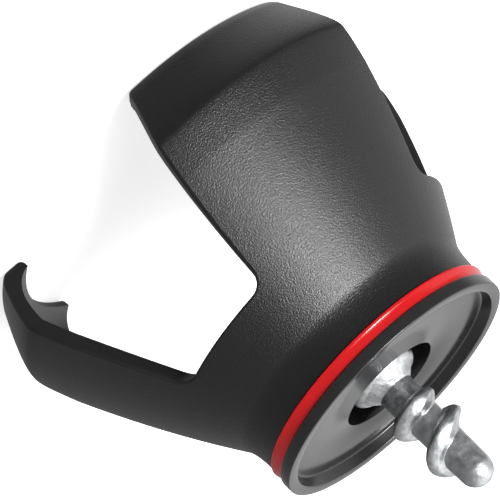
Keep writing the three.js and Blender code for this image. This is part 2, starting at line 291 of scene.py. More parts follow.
print("wall at the shoulder in mm:", in_mm([outer_at(centre_height) - inner_at(centre_height)]))

# %% [markdown]
# The windows narrow upwards from the toes. A finger's edge is a line of angle against height with two
# straight runs that meet at the shoulder, and the real one has no sharp corner there.

# %% How wide the fingers are
finger_count = 3
pitch = 2 * math.pi / finger_count
finger_turns = -np.pi / 2 + pitch * np.arange(finger_count)  # the angles of the fingers' middles
half_pitch = 180 / finger_count  # degrees from the middle of a finger to the middle of a window
window_halves = (22.8, 29.4, 34.1)  # half a window's width in degrees, at its base, the shoulder and the toe
window_base = centre_height + 15.55 * mm
window_corner = 1.9 * mm
corner_bottom = window_base - window_corner
tip_corner = 0.5 * mm
soften = 1.3 * mm  # how far above and below a corner of the finger's edge the rounding reaches
base_angle, shoulder_angle, toe_angle = (math.radians(half_pitch - half) for half in window_halves)
root_angle = between(base_angle, shoulder_angle, window_corner / (window_base - centre_height))
tip_angle = toe_angle - tip_corner / toe_flat[0]
root_rise = (root_angle - shoulder_angle) * window_corner / (corner_bottom - centre_height)
edge_levels = [tip_corner, centre_height, corner_bottom, corner_bottom + window_corner]
edge_angles = [toe_angle, shoulder_angle, root_angle, root_angle + root_rise]  # goes on past the root
print("half a finger in degrees:", [round(math.degrees(angle), 1) for angle in edge_angles])


def half_angle(height):
    """Half a finger's width as an angle. It grows in straight runs from the toe to the shoulder and on to
    the root, and the mean of three readings, at the height, above and below, rounds the corner between them.
    Below the tip's corner, (1-t) squared is the share of the tip's angle, where t is the square root of the
    height over the corner's."""
    shifts = np.array([-1, 0, 1])[:, None] * soften
    runs = np.interp(height[None] + shifts, edge_levels, edge_angles).mean(axis=0)
    t = np.sqrt(np.clip(height / tip_corner, 0, 1))
    corner = (1 - t) ** 2 * tip_angle + (1 - (1 - t) ** 2) * toe_angle
    return np.where(height < tip_corner, corner, runs)


# %% [markdown]
# The edge of a window is a strip that turns from the outer skin round to its side and on to the inner skin.
# It is the same for every place along the edge: a list of depths into the wall, and of how far each point
# stands back from the edge. Fingers and cup share it, so that they meet without a seam.

# %% The rounded edge strip
outer_round = 0.28 * mm  # of the edges between the outer skin and the windows' sides
inner_round = 0.2 * mm
draft = math.radians(1.2)  # a finger is wider by this angle on the inside, at each edge
round_steps = 5
side_steps = 3
strip_size = 2 * (round_steps + 1) + side_steps


def edge_strip(thickness):
    """Depth, as a share of each wall thickness, and setback of the strip's points. A round is depth
    r(1 - cos a) and setback r(1 - sin a) for angles a from 0 to a right angle, and the side between the two
    rounds is straight."""
    a = np.linspace(0, np.pi / 2, round_steps + 1)
    thickness = thickness[:, None]
    outer_depth = np.tile(outer_round * (1 - np.cos(a)), (len(thickness), 1))
    inner_depth = thickness - inner_round * (1 - np.cos(a[::-1]))
    share = np.linspace(0, 1, side_steps + 2)[1:-1]
    side_depth = between(outer_depth[:, -1:], inner_depth[:, :1], share)
    depth = np.hstack([outer_depth, side_depth, inner_depth])
    outer_setback = outer_round * (1 - np.sin(a))
    inner_setback = inner_round * (1 - np.sin(a[::-1]))
    return depth / thickness, np.concatenate([outer_setback, np.zeros(side_steps), inner_setback])


# %% A section of a finger
across_count = 45
across = np.sin(np.linspace(-np.pi / 2, np.pi / 2, across_count))  # closer together towards the edges


def finger_section(outer, inner):
    """One closed section of a finger for each pair of points on the two skins: the outer skin, the strip
    round one edge, the inner skin and the other edge. An angle is the share across times the half width,
    less the setback over the radius."""
    outer_half = half_angle(outer[:, 1])[:, None]
    inner_half = half_angle(inner[:, 1])[:, None] + draft
    depth, setback = edge_strip(np.linalg.norm(outer - inner, axis=1))
    radius = between(outer[:, :1], inner[:, :1], depth)
    height = between(outer[:, 1:], inner[:, 1:], depth)
    angle = between(outer_half, inner_half, depth) - setback[None] / radius
    outer_angle = angle[:, :1] * across[None, 1:-1]
    inner_angle = angle[:, -1:] * across[None, 1:-1]
    width = np.ones((1, across_count - 2))
    radii = [outer[:, :1] * width, radius, inner[:, :1] * width, radius[:, ::-1]]
    angles = [outer_angle, angle, inner_angle[:, ::-1], -angle[:, ::-1]]
    heights = [outer[:, 1:] * width, height, inner[:, 1:] * width, height[:, ::-1]]
    return np.hstack(radii), np.hstack(angles), np.hstack(heights)


# %% Rows along a finger
fine_step = 0.2 * mm  # between rows round the shoulder
coarse_count = 26  # rows from there up to the root
toe_count = 14  # points round the toe
fine_rows = np.arange(toe_top[1], cone_start[1], fine_step)
coarse_rows = np.linspace(cone_start[1], corner_bottom, coarse_count)
row_heights = np.concatenate([fine_rows, coarse_rows])[::-1]
outer_rows = np.stack([outer_at(row_heights), row_heights], axis=1)
inner_rows = np.stack([inner_at(row_heights), row_heights], axis=1)
inner_toe = joined([inner_rows[-1], hook_start, lip_curve[0]], lip_curve)
outer_rows = joined(outer_rows, spaced(toe_curve, toe_count))
inner_rows = joined(inner_rows, spaced(inner_toe, toe_count))
finger_radii, finger_angles, finger_heights = finger_section(outer_rows, inner_rows)
row_size = finger_radii.shape[1]
print("a finger's grid:", finger_radii.shape)

# %% Make the fingers
skin_size = across_count - 2
grain_row = np.zeros(row_size)  # 1 on the grained outer skin, 0 on the smooth sides and inside
grain_row[: skin_size + 1] = 1
grain_row[-1] = 1


def lid(first_vertex):
    """Faces that close the section which starts at a vertex: a row of four-sided faces between the two
    skins, and one face over each edge strip."""
    cuts = np.cumsum([skin_size, strip_size, skin_size])
    outer, plus, inner, minus = np.split(np.arange(row_size) + first_vertex, cuts)
    outer_row = np.concatenate([minus[-1:], outer, plus[:1]])
    inner_row = np.concatenate([minus[:1], inner[::-1], plus[-1:]])
    return grid_faces(np.stack([outer_row, inner_row])) + [plus.tolist(), minus.tolist()]


finger_pieces = []
for number, turn in enumerate(finger_turns, start=1):
    points = placed(finger_radii, turn + finger_angles, finger_heights).reshape(-1, 3)
    index = np.arange(len(points)).reshape(-1, row_size)
    top_lid = [face[::-1] for face in lid(0)]
    faces = grid_faces(index, closed_rows=True) + top_lid + lid(index[-1, 0])
    made = piece(f"finger_moulding_{number}", points, faces)
    mark(made, "grain", np.tile(grain_row, len(index)))
    finger_pieces.append(made)

# %% [markdown]
# The cup is one grid too. Its columns stand side by side all round the axis. Each runs from the middle of
# the socket's floor out over the neck, down the outer skin, round the lower edge, and up the inner skin to
# the middle of the cup's floor. Above a finger the lower edge is a flat cut, and beside it the edge climbs
# the round corner of a window and follows its base.

# %% The outline of half a window
corner_count = 15
base_count = 18
corner_angle = window_corner / outer_at(window_base)
corner_end = (base_angle + corner_angle, window_base)
corner_points = bend((root_angle, corner_bottom), (base_angle, window_base), corner_end, corner_count)
base_angles = between(corner_end[0], pitch / 2, np.linspace(0, 1, base_count)[1:])
base_points = np.stack([base_angles, np.full(len(base_angles), window_base)], axis=1)
edge_points = np.vstack([corner_points, base_points])  # each is an angle and a height
print("half a window's outline has", len(edge_points), "points")

# %% Round the window's edge
# The strip stands back from the outline at right angles to it, towards the plastic. The right angle is
# worked out in lengths, where an angle counts as an angle times the radius.
skin_radius = outer_at(edge_points[:, 1])
tangent = np.gradient(edge_points, axis=0) * np.stack([skin_radius, np.ones(len(skin_radius))], axis=1)
tangent /= np.linalg.norm(tangent, axis=1)[:, None]
tangent[0] = (0, 1)  # it starts in line with the finger's edge
inward = np.stack([-tangent[:, 1], tangent[:, 0]], axis=1)
edge_depth, edge_setback = edge_strip(skin_radius - inner_at(edge_points[:, 1]))
strip_height = edge_points[:, 1:] + inward[:, 1:] * edge_setback
strip_radius = between(outer_at(strip_height), inner_at(strip_height), edge_depth)
flare = draft * np.abs(inward[:, :1]) * edge_depth
strip_angle = edge_points[:, :1] + flare + inward[:, :1] * edge_setback / strip_radius

# %% The cut above a finger, and the edge all the way round
cut_share = across[1:-1]
cut_depth = np.tile(np.linspace(0, 1, strip_size), (len(cut_share), 1))
cut_radius = between(outer_at(corner_bottom), inner_at(corner_bottom), cut_depth)
cut_angle = between(strip_angle[0, 0], strip_angle[0, -1], cut_depth) * cut_share[:, None]
cut_height = np.full(cut_depth.shape, corner_bottom)

# A third of the edge runs from the middle of one window over a finger to the middle of the next.
third_angle = np.vstack([-strip_angle[::-1][1:], cut_angle, strip_angle])
third_radius = np.vstack([strip_radius[::-1][1:], cut_radius, strip_radius])
third_height = np.vstack([strip_height[::-1][1:], cut_height, strip_height])
edge_angle = (third_angle[None] + finger_turns[:, None, None]).reshape(-1, strip_size)
edge_radius = np.tile(third_radius, (finger_count, 1))
edge_height = np.tile(third_height, (finger_count, 1))
print("the cup has", len(edge_angle), "columns")

# %% The cup's outside and socket
band_top = window_base + 1.4 * mm  # above this level every row is a plain circle
cone_rows = 22
neck_step = 6  # one row for this many points of the neck's curve
top_edge = 0.12 * mm
cone_heights = np.linspace(band_top, cone_end[1], cone_rows)[:-1]
outer_heights = np.concatenate([cone_heights, neck_curve[:-neck_step:neck_step, 1]])
outer_line = np.vstack([
    np.stack([outer_at(outer_heights), outer_heights], axis=1),
    [
        (neck_radius, neck_top - top_edge),
        (neck_radius - top_edge, neck_top),
        (socket_radius, neck_top),
        (socket_radius, socket_floor),
        (socket_radius / 2, socket_floor),
    ],
])
print("rows outside:", len(outer_line))

# %% The cup's inside
inside_rows = 14
fillet_count = 12
floor_shares = (0.6, 0.3)  # radii of the rings on the flat floor, as shares of its corner's
floor_corner = (inner_at(cup_floor), cup_floor)
fillet_end = (inner_at(cup_floor - floor_fillet), cup_floor - floor_fillet)
floor_curve = bend(fillet_end, floor_corner, (floor_corner[0] - floor_fillet, cup_floor), fillet_count)
inner_heights = np.linspace(band_top, fillet_end[1], inside_rows)[:-1]
inner_line = np.vstack([
    np.stack([inner_at(inner_heights), inner_heights], axis=1),
    floor_curve,
    [(floor_corner[0] * share, cup_floor) for share in floor_shares],
])
print("rows inside:", len(inner_line))

# %% Columns of the cup
band_rows = 8
band_power = 1.5  # brings the band's rows closer together beside the edge


def climb(radius_at, angle, height):
    """Radii, angles and heights of the rows from the lower edge up to the plain circles. A height is part of
    the way up by a share to the band's power, and the radius is the skin's at that height."""
    shares = np.linspace(0, 1, band_rows + 1)[None, 1:-1]
    heights = between(height[:, None], band_top, shares**band_power)
    return radius_at(heights), np.tile(angle[:, None], shares.shape), heights


def circles(line, angle):
    """Radii, angles and heights of one line of radii and heights, the same in every column."""
    return np.broadcast_arrays(line[None, :, 0], angle[:, None], line[None, :, 1])


# %% Make the cup
outer_angle = edge_angle[:, 0]
cup_grids = []
for outer_part, outer_rise, edge, inner_rise, inner_part in zip(
    circles(outer_line, outer_angle),
    climb(outer_at, outer_angle, edge_height[:, 0]),
    (edge_radius, edge_angle, edge_height),
    climb(inner_at, edge_angle[:, -1], edge_height[:, -1]),
    circles(inner_line, outer_angle),
):
    cup_grids.append(np.hstack([outer_part[:, ::-1], outer_rise[:, ::-1], edge, inner_rise, inner_part]))
column_size = cup_grids[0].shape[1]
cup_points = placed(*cup_grids).reshape(-1, 3)
index = np.arange(len(cup_points)).reshape(-1, column_size)
cup_faces = grid_faces(index, closed_columns=True)
end_rings = (index[:, 0], index[:, -1])
cup = piece("cup_moulding", *with_poles(cup_points, cup_faces, end_rings, (socket_floor, cup_floor)))
outside = np.zeros(column_size)
outside[: len(outer_line) + band_rows] = 1
pole_marks = [0, 0]
mark(cup, "grain", np.concatenate([np.tile(outside, len(index)), pole_marks]))

# %% [markdown]
# ## Ring and cap
#
# The ring is a thin band of glossy red plastic between the neck and the cap. A bead at its foot catches the
# light in a line, and above it the band leans in and rolls under the cap's edge.
#
# The cap is a black disc with a dished face: a flat rim, a leaning wall that runs out in the dish's floor,
# and a deep pocket for the screw's collar. The floor falls a little from the pocket to the wall.
#
# Both are turned forms, so each is a profile carried round the axis. The Screw modifier does the same to a
# drawn curve, but here each corner of the profile keeps its own named size.

# %% Make the ring
turn_segments = 192
ring_inside = socket_radius
brim_bottom = ring_top - 0.12 * mm  # the cap's edge comes down over the end of the ring
bead_share = 0.6  # how far up the control point of the bead's back stands
roll_height = 0.08 * mm  # and how far below the cap's edge that of the rolled end
bead_foot = (ring_radius - 0.18 * mm, neck_top)
bead_crest = (ring_radius - 0.02 * mm, neck_top + 0.12 * mm)
band_foot = (ring_radius - 0.13 * mm, neck_top + 0.42 * mm)
band_end = (ring_radius - 0.23 * mm, brim_bottom - 0.24 * mm)
ring_waist = ring_radius - 0.46 * mm
ring_outline = joined(
    [(ring_inside, neck_top), bead_foot],
    bend(bead_foot, (bead_crest[0], neck_top), bead_crest, count=7),
    bend(bead_crest, (bead_crest[0], between(bead_crest[1], band_foot[1], bead_share)), band_foot, count=9),
    [band_foot, band_end],
    bend(band_end, (band_end[0], brim_bottom - roll_height), (ring_waist, brim_bottom), count=7),
    [(ring_waist, brim_bottom), (ring_inside, brim_bottom)],
)
ring = turned("ring_band", ring_outline, turn_segments)

# %% Sizes of the cap
brim_radius = ring_radius + 0.03 * mm
rim_width = 1.1 * mm
cap_edge = 0.17 * mm
inner_edge = 0.1 * mm
under_edge = 0.15 * mm
dish_floor = rim_top - 0.85 * mm  # beside the pocket
dish_edge_floor = rim_top - 1.25 * mm  # at the wall
wall_slope = 0.3 * mm  # the dish's wall leans outwards by this much
wall_top_share = 0.1  # share of that lean which the rounded edge above the wall takes up
dish_cove = 0.25 * mm  # height at which the wall starts to run out in the floor
cove_width = 2 * dish_cove
cove_lift = 0.1 * dish_cove
dish_radius = brim_radius - cap_edge - rim_width
dish_foot = dish_radius - wall_slope
pocket_radius = 5.78 * mm
pocket_floor = dish_floor - 2.65 * mm
pocket_edge = 0.15 * mm
bore_radius = 2.9 * mm
spigot_radius = socket_radius - 0.3 * mm
print("radii of the dish in mm:", in_mm([pocket_radius, dish_foot, dish_radius, brim_radius]))

# %% Make the cap
# Each round leaves out its first point, so the straight stretch before it runs on to its second.
cap_outline = joined(
    [
        (bore_radius, socket_floor),
        (spigot_radius, socket_floor),
        (spigot_radius, brim_bottom),
        (brim_radius - under_edge, brim_bottom),
    ],
    rounded((brim_radius, brim_bottom), (-under_edge, 0), (0, under_edge), count=5),
    rounded((brim_radius, rim_top), (0, -cap_edge), (-cap_edge, 0), count=8),
    rounded((dish_radius, rim_top), (inner_edge, 0), (-wall_slope * wall_top_share, -inner_edge), count=6),
    rounded((dish_foot, dish_edge_floor), (0, dish_cove), (-cove_width, cove_lift), count=9),
    rounded((pocket_radius, dish_floor), (pocket_edge, 0), (0, -pocket_edge), count=5),
    [(pocket_radius, dish_floor - pocket_edge), (pocket_radius, pocket_floor), (bore_radius, pocket_floor)],
)
cap = turned("cap_disc", cap_outline, turn_segments)

# %% [markdown]
# ## The screw
#
# The screw is a zinc die casting with one coarse ridge that winds up its shaft about a turn and a half. The
# ridge is steep towards the collar. Towards the tip it slopes in a hollow curve on one side of the shaft,
# and on the other it rounds over and ends in a step.
#
# It could be a tube along a helix joined to a turned shaft. A single surface has no seam, so the radius is
# worked out for every height and angle: the shaft's radius, plus the ridge wherever the helix passes.

# %% Sizes of the screw
root_radius = 2.6 * mm
root_foot = socket_floor + 0.2 * mm
drum_radius = 3.5 * mm
drum_top = pocket_floor + 1.55 * mm
collar_radius = 4.05 * mm
collar_height = 0.85 * mm
collar_top = drum_top + collar_height
shaft_start = collar_top + 1.1 * mm
shaft_radius = 2.08 * mm
tip_radius = 1.91 * mm
tip_centre = screw_top - tip_radius
seam_angle = math.radians(-123)  # where the two halves of the die met
seam_width = 0.16 * mm
seam_height = 0.035 * mm
print("levels of the screw in mm:", in_mm([drum_top, collar_top, shaft_start, tip_centre]))

# %% Sizes of the ridge
ridge_height = 1.5 * mm
thread_start = collar_top + 3.8 * mm
thread_angle = math.radians(-148)
lead = 0.55  # the crest climbs by this many mm times the half turns,
lead_growth = 0.5  # and by this many mm times their square
grow_in = (-0.4, 0.5)  # half turns over which the ridge rises out of the shaft
run_out = (3.15, 3.45)  # and over which it sinks back
narrow_share = 0.5  # its width where it begins and ends, as a share of its full width
passes = (-2, 0, 2)  # half turns to add, one for each pass on which an angle may meet the ridge
hollow_rise = (-0.85 * mm, 0.35 * mm)  # where the flank on the collar's side begins and ends
step_rise = (-0.95 * mm, 0.05 * mm)
hollow_flank = (0.25 * mm, 1.75 * mm)  # the flank on the tip's side where it runs out in a hollow curve
step_flank = (-0.10 * mm, 0.80 * mm)  # and where it rounds over and ends in a step
hollow_drop = (0, 1)  # where along the flank the ridge drops
step_drop = (0.93, 1.09)
step_sag = 0.6  # share of the height that rounds away before the step
step_onset = 0.5  # square of the sine from which the step is whole


# %% The ridge as a height above the shaft
def ridge_share(beside, half_turns):
    """Share of the ridge's height at a distance beside its crest line: a quarter of an ellipse up on the
    collar's side, times a fall on the tip's side. The fall is a parabola times a smooth step down. Where the
    half turns are even, the step takes the whole flank, and where they are odd, it is short and steep. The
    square of the sine of half the turn's angle, and a smooth step of that, mix the two."""
    turned_away = np.sin(np.pi * half_turns / 2) ** 2
    stepped = smooth_step(0, step_onset, turned_away)
    foot, crest = (between(hollow, step, stepped) for hollow, step in zip(hollow_rise, step_rise))
    drop = (between(hollow, step, stepped) for hollow, step in zip(hollow_drop, step_drop))
    start = between(hollow_flank[0], step_flank[0], stepped)
    end = between(hollow_flank[1], step_flank[1], turned_away)
    t = np.maximum((beside - start) / (end - start), 0)
    kept = (1 - step_sag * stepped * np.minimum(t, 1) ** 2) * (1 - smooth_step(*drop, t))
    risen = np.clip((beside - foot) / (crest - foot), 0, 1)
    return np.sqrt(risen * (2 - risen)) * kept


def shaft_surface(height, angle):
    """Radius of the shaft: an even taper, plus the highest of the ridge's passes, plus the thin seam, which
    is (1 - x squared) squared across its width and fades out under the ridge."""
    plain = between(shaft_radius, tip_radius, (height - shaft_start) / (tip_centre - shaft_start))
    first = np.mod(angle - thread_angle, 2 * np.pi) / np.pi
    raised = 0
    for added in passes:
        half_turns = first + added
        crest = thread_start + (lead * half_turns + lead_growth * half_turns**2) * mm
        grown = smooth_step(*grow_in, half_turns) * (1 - smooth_step(*run_out, half_turns))
        beside = (height - crest) / between(narrow_share, 1, grown)
        raised = np.maximum(raised, grown * ridge_share(beside, half_turns))
    seam = np.abs(np.sin(angle - seam_angle)) * plain
    seam = np.clip(1 - (seam / seam_width) ** 2, 0, 1) ** 2 * seam_height
    return plain + raised * ridge_height + seam * (1 - raised)


# %% The root, drum and collar
collar_round = 0.14 * mm
collar_taper = 0.05 * mm  # how far in the control point of the collar's side stands
side_height_share = 0.55  # and how far up, as a share of the collar's height
bevel_share = 0.7  # where the collar's bevelled band ends, from the shaft to the collar's side
bevel_radius = between(shaft_radius, collar_radius, bevel_share)
groove = 0.11 * mm  # the die's parting step, a fine groove round the collar
groove_end = (bevel_radius - 2 * groove, collar_top)
hollow_shares = (0.46, 0.5)  # across and up, of the control point between the collar and the shaft
hollow_control = (
    between(shaft_radius, bevel_radius, hollow_shares[0]),
    between(collar_top, shaft_start, hollow_shares[1]),
)
lower_line = joined(
    [
        (root_radius, root_foot),
        (root_radius, pocket_floor),
        (drum_radius, pocket_floor),
        (drum_radius, drum_top),
    ],
    rounded((collar_radius, drum_top), (-collar_round, 0), (0, collar_round), count=5),
    bend(
        (collar_radius, drum_top + collar_round),
        (collar_radius - collar_taper, between(drum_top, collar_top, side_height_share)),
        (bevel_radius, collar_top),
        count=9,
    ),
    [(bevel_radius, collar_top), (bevel_radius - groove, collar_top - groove), groove_end],
    bend(groove_end, hollow_control, (shaft_radius, shaft_start), count=14),
)
print("rows below the shaft:", len(lower_line))

# %% Make the screw
screw_segments = 160
shaft_rows = 340
tip_count = 22
screw_angle = np.linspace(0, 2 * np.pi, screw_segments, endpoint=False)[None]
shaft_heights = np.linspace(shaft_start, tip_centre, shaft_rows)[1:, None]
shaft_radii = shaft_surface(shaft_heights, screw_angle)
tip_angles = np.linspace(0, np.pi / 2, tip_count)[1:-1]
tip_line = np.stack([tip_radius * np.cos(tip_angles), tip_centre + tip_radius * np.sin(tip_angles)], axis=1)
full_turn = np.ones((1, screw_segments))
screw_radius = np.vstack([lower_line[:, :1] * full_turn, shaft_radii, tip_line[:, :1] * full_turn])
screw_height = np.vstack([lower_line[:, 1:], shaft_heights, tip_line[:, 1:]])
screw_points = placed(screw_radius, screw_angle, screw_height).reshape(-1, 3)
index = np.arange(len(screw_points)).reshape(-1, screw_segments)
screw_faces = grid_faces(index, closed_rows=True)
end_rings = (index[0], index[-1])
screw = piece("screw_casting", *with_poles(screw_points, screw_faces, end_rings, (root_foot, screw_top)))

# %% [markdown]
# ## Ride on the frame
#
# Each fine piece stands for a coarse solid, which is hidden. The cup, ring, cap and screw hang from the
# root's
# body. A real finger has no hinge: its plastic bends, but here the fingers' pieces stay where they were
# made.

# %% Bake the fingers and hide their coarse solids
for number, (made, turn) in enumerate(zip(finger_pieces, finger_turns), start=1):
    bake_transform(made)
    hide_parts(f"claw_finger_{number}")

# %% Tie the other pieces to the root
for made, node_name, slot_name in (
    (cup, "claw_collar", "claw_plastic"),
    (ring, "trim_ring", "ring_red"),
    (cap, "end_cap", "cap_plastic"),
    (screw, "grip_screw", "cast_metal"),
):
    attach(made, "root")
    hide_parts(node_name)
    print(made.name, "stands for", node_name)

# %% [markdown]
# ## Finishes
#
# A finish starts from what the real material is and how its surface was made. Patterns are worked out from
# sizes in millimetres on Object coordinates, which stay put on the object from any view.

# %% Node helpers
def linear(code):
    """An sRGB hex colour in linear light: c/12.92 up to 0.04045, else ((c + 0.055)/1.055) to the 2.4th."""
    channels = [int(code[i : i + 2], 16) / 255 for i in (0, 2, 4)]
    return [c / 12.92 if c <= 0.04045 else ((c + 0.055) / 1.055) ** 2.4 for c in channels] + [1]


def add(tree, kind, inputs=None, **settings):
    """Adds a shader node with its settings. An input that is a socket is linked, and any other is set."""
    made = tree.nodes.new("ShaderNode" + kind)
    for name, value in settings.items():
        setattr(made, name, value)
    for name, value in (inputs or {}).items():
        if isinstance(value, bpy.types.NodeSocket):
            tree.links.new(value, made.inputs[name])
        else:
            made.inputs[name].default_value = value
    return made


def empty_tree(holder):
    """Turns the nodes of a material or a world on, and gives its tree with nothing in it."""
    holder.use_nodes = True
    holder.node_tree.nodes.clear()
    return holder.node_tree


def dress(pieces, finish):
    """Gives pieces a material with the finish's name. Its Principled BSDF has the inputs that finish returns
    for a tree and its Object coordinates."""
    made = bpy.data.materials.new(finish.__name__)
    tree = empty_tree(made)
    where = add(tree, "TexCoord").outputs["Object"]
    surface = add(tree, "BsdfPrincipled", finish(tree, where))
    add(tree, "OutputMaterial", {"Surface": surface.outputs[0]})
    for dressed in pieces:
        dressed.data.materials.append(made)
    print(made.name, "is on", [dressed.name for dressed in pieces])


# %% [markdown]
# The claw is black ABS. Its mould was spark-eroded, which leaves a fine, even grain that breaks a highlight
# into sparkling points, and dulls the rest to a soft sheen. The windows' sides and the inside came off
# polished steel and have no grain: the mark kept at each vertex says where it is. The grain's own slopes
# spread a highlight, so its roughness is set slightly lower than that of the bare sides.

# %% Grained ABS
grain_size = 0.17 * mm  # a pit of the real grain, drawn a little coarser than it is so that it shows
grain_depth = 0.055 * mm
grain_roughness = 0.33
side_roughness = 0.36
mottle_size = 7 * mm
abs_blacks = (linear("080809"), linear("0d0d0e"))


def grained_abs(tree, where):
    """The bump is noise at the grain's size times the vertices' mark. A slow mottle mixes two blacks."""
    grain = add(tree, "Attribute", attribute_name="grain").outputs["Fac"]
    pits = add(tree, "TexNoise", {"Vector": where, "Scale": 1 / grain_size, "Detail": 2.0, "Roughness": 0.6})
    depth = add(tree, "Math", {0: pits.outputs["Fac"], 1: grain}, operation="MULTIPLY")
    normal = add(tree, "Bump", {"Height": depth.outputs[0], "Distance": grain_depth})
    mottle = add(tree, "TexNoise", {"Vector": where, "Scale": 1 / mottle_size, "Detail": 3.0})
    blend = mottle.outputs["Fac"]
    colour = add(tree, "Mix", {"Factor": blend, "A": abs_blacks[0], "B": abs_blacks[1]}, data_type="RGBA")
    rough = add(tree, "MapRange", {"Value": grain, "To Min": side_roughness, "To Max": grain_roughness})
    return {
        "Base Color": colour.outputs["Result"],
        "Roughness": rough.outputs["Result"],
        "Normal": normal.outputs["Normal"],
        "IOR": 1.53,
    }


dress(finger_pieces + [cup], grained_abs)

# %% [markdown]
# The ring is moulded red ABS off polished steel: a strong even colour under a hard gloss, with faint waves
# from the moulding that only the highlight shows.

# %% Polished red ABS
ripple_size = 3.5 * mm
ripple_depth = 0.02 * mm
abs_reds = (linear("9c070b"), linear("a8090d"))


def polished_red_abs(tree, where):
    """One noise at the size of the moulding's waves is both the bump and the mix of two reds."""
    ripple = add(tree, "TexNoise", {"Vector": where, "Scale": 1 / ripple_size, "Detail": 2.0})
    waves = ripple.outputs["Fac"]
    normal = add(tree, "Bump", {"Height": waves, "Distance": ripple_depth})
    colour = add(tree, "Mix", {"Factor": waves, "A": abs_reds[0], "B": abs_reds[1]}, data_type="RGBA")
    return {
        "Base Color": colour.outputs["Result"],
        "Roughness": 0.14,
        "Normal": normal.outputs["Normal"],
        "IOR": 1.47,
    }


dress([ring], polished_red_abs)

# %% [markdown]
# The cap is smooth black nylon with a satin gloss. Seen almost along its face it mirrors the studio and the
# screw's foot, blurred. Fine handling marks vary how sharp that reflection is.

# %% Satin nylon
scuff_size = 2.2 * mm
scuff_depth = 0.004 * mm
cap_sheen = (0.16, 0.22)  # roughness outside the marks and in them
cap_blacks = (linear("161617"), linear("1b1b1c"))


def satin_nylon(tree, where):
    """One noise at the size of the handling marks sets the roughness, a very low bump and the colour."""
    scuff = add(tree, "TexNoise", {"Vector": where, "Scale": 1 / scuff_size, "Detail": 4.0})
    marks = scuff.outputs["Fac"]
    rough = add(tree, "MapRange", {"Value": marks, "To Min": cap_sheen[0], "To Max": cap_sheen[1]})
    normal = add(tree, "Bump", {"Height": marks, "Distance": scuff_depth})
    colour = add(tree, "Mix", {"Factor": marks, "A": cap_blacks[0], "B": cap_blacks[1]}, data_type="RGBA")
    return {
        "Base Color": colour.outputs["Result"],
        "Roughness": rough.outputs["Result"],
        "Normal": normal.outputs["Normal"],
        "IOR": 1.53,
    }


dress([cap], satin_nylon)

# %% [markdown]
# The screw is die-cast zinc, tumbled and left bare. Its skin is bright but softly dimpled, so reflections
# break into cloudy patches of light and dark grey.

# %% Tumbled zinc casting
dimple_size = 0.5 * mm
dimple_depth = 0.06 * mm
cloud_size = 0.9 * mm
cloud_range = (0.2, 0.8)  # of the noise, between the darkest and the lightest patches
zinc_sheen = (0.34, 0.46)  # roughness of the darkest and the lightest
zinc_greys = (linear("919497"), linear("d6d8d9"))


def tumbled_zinc(tree, where):
    """A fine noise is the dimples' bump, and a coarser one mixes two greys and sets their roughness."""
    dimple = add(tree, "TexNoise", {"Vector": where, "Scale": 1 / dimple_size, "Detail": 3.0})
    normal = add(tree, "Bump", {"Height": dimple.outputs["Fac"], "Distance": dimple_depth})
    cloud = add(tree, "TexNoise", {"Vector": where, "Scale": 1 / cloud_size, "Detail": 4.0})
    span = {"From Min": cloud_range[0], "From Max": cloud_range[1]}
    patch = add(tree, "MapRange", {"Value": cloud.outputs["Fac"]} | span).outputs["Result"]
    rough = add(tree, "MapRange", {"Value": patch, "To Min": zinc_sheen[0], "To Max": zinc_sheen[1]})
    colour = add(tree, "Mix", {"Factor": patch, "A": zinc_greys[0], "B": zinc_greys[1]}, data_type="RGBA")
    return {
        "Base Color": colour.outputs["Result"],
        "Metallic": 1.0,
        "Roughness": rough.outputs["Result"],
        "Normal": normal.outputs["Normal"],
    }


dress([screw], tumbled_zinc)

# %% [markdown]
# ## Camera
#
# The camera stands where the photograph was taken from: a little above the cap, a long way off with a long
# lens, and rolled so that the screw points to the lower right of the picture.

# %% Place the camera
aim = Vector((0.13, 1.73, 13.67)) * mm
camera_azimuth = math.radians(-58.21)
camera_elevation = math.radians(17.48)
camera_distance = 468.05 * mm
camera_roll = math.radians(134.73)
focal_share = 9  # focal length in picture widths

back = Vector((
    math.cos(camera_azimuth) * math.cos(camera_elevation),
    math.sin(camera_azimuth) * math.cos(camera_elevation),
    math.sin(camera_elevation),
))
level = Vector((0, 0, 1)).cross(back).normalized()
upright = back.cross(level)
right = level * math.cos(camera_roll) + upright * math.sin(camera_roll)
up = upright * math.cos(camera_roll) - level * math.sin(camera_roll)
camera_turn = Matrix((right, up, back)).transposed().to_4x4()
camera_data = bpy.data.cameras.new("camera")
camera_data.sensor_fit = "HORIZONTAL"
camera_data.lens = focal_share * camera_data.sensor_width
camera_data.clip_start = 0.01
camera_data.clip_end = 20
camera = bpy.data.objects.new("camera", camera_data)
camera.matrix_world = Matrix.Translation(aim + back * camera_distance) @ camera_turn
bpy.context.scene.collection.objects.link(camera)
bpy.context.scene.camera = camera
print("camera in mm:", in_mm(camera.matrix_world.translation))

# %% [markdown]
# ## Floor and light
#
# The photograph was taken in a white studio. The floor is pale and takes the object's shadow, and it shows
# white to the camera. Soft lamps light the object, and the surroundings are bright behind it and dimmer on
# the camera's side, which gives the metal and the glossy cap their dark and light. A picture of a studio
# could be wrapped round the scene, but a level for each direction says the same in a few numbers.

# %% The studio's brightness by direction
sky_side = (-0.85, 0.31, 0.42)  # behind the object, and to the right in the picture
sky_levels = (0.36, 0.95)
sky_range = (0.3, 0.6)
white = (1, 1, 1, 1)


